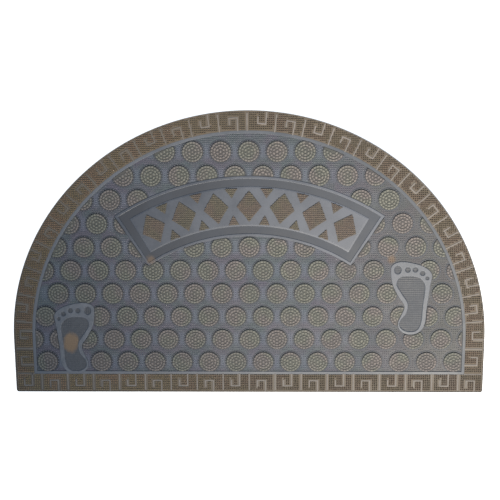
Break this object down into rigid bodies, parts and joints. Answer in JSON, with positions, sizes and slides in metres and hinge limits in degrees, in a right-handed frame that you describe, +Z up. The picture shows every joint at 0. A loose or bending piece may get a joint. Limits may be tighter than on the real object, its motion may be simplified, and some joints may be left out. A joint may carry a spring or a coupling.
{
  "type": "half-round rubber doormat",
  "caption": "Flat half-round moulded rubber doormat with raised round pads, a key-pattern border, footprints and a curved banner.",
  "frame": {"origin": "middle of the mat's bounding box, on its flat underside", "axes": "+X along the straight edge, to the right as seen from above with the round edge away; +Y from the straight edge towards the round edge; +Z up, out of the patterned top"},
  "size_m": [0.75, 0.45, 0.007],
  "materials": {
    "rubber": "matt, with brown-painted pins"
  },
  "bodies": {
    "root": {"mat": "rubber"}
  },
  "joints": []
}
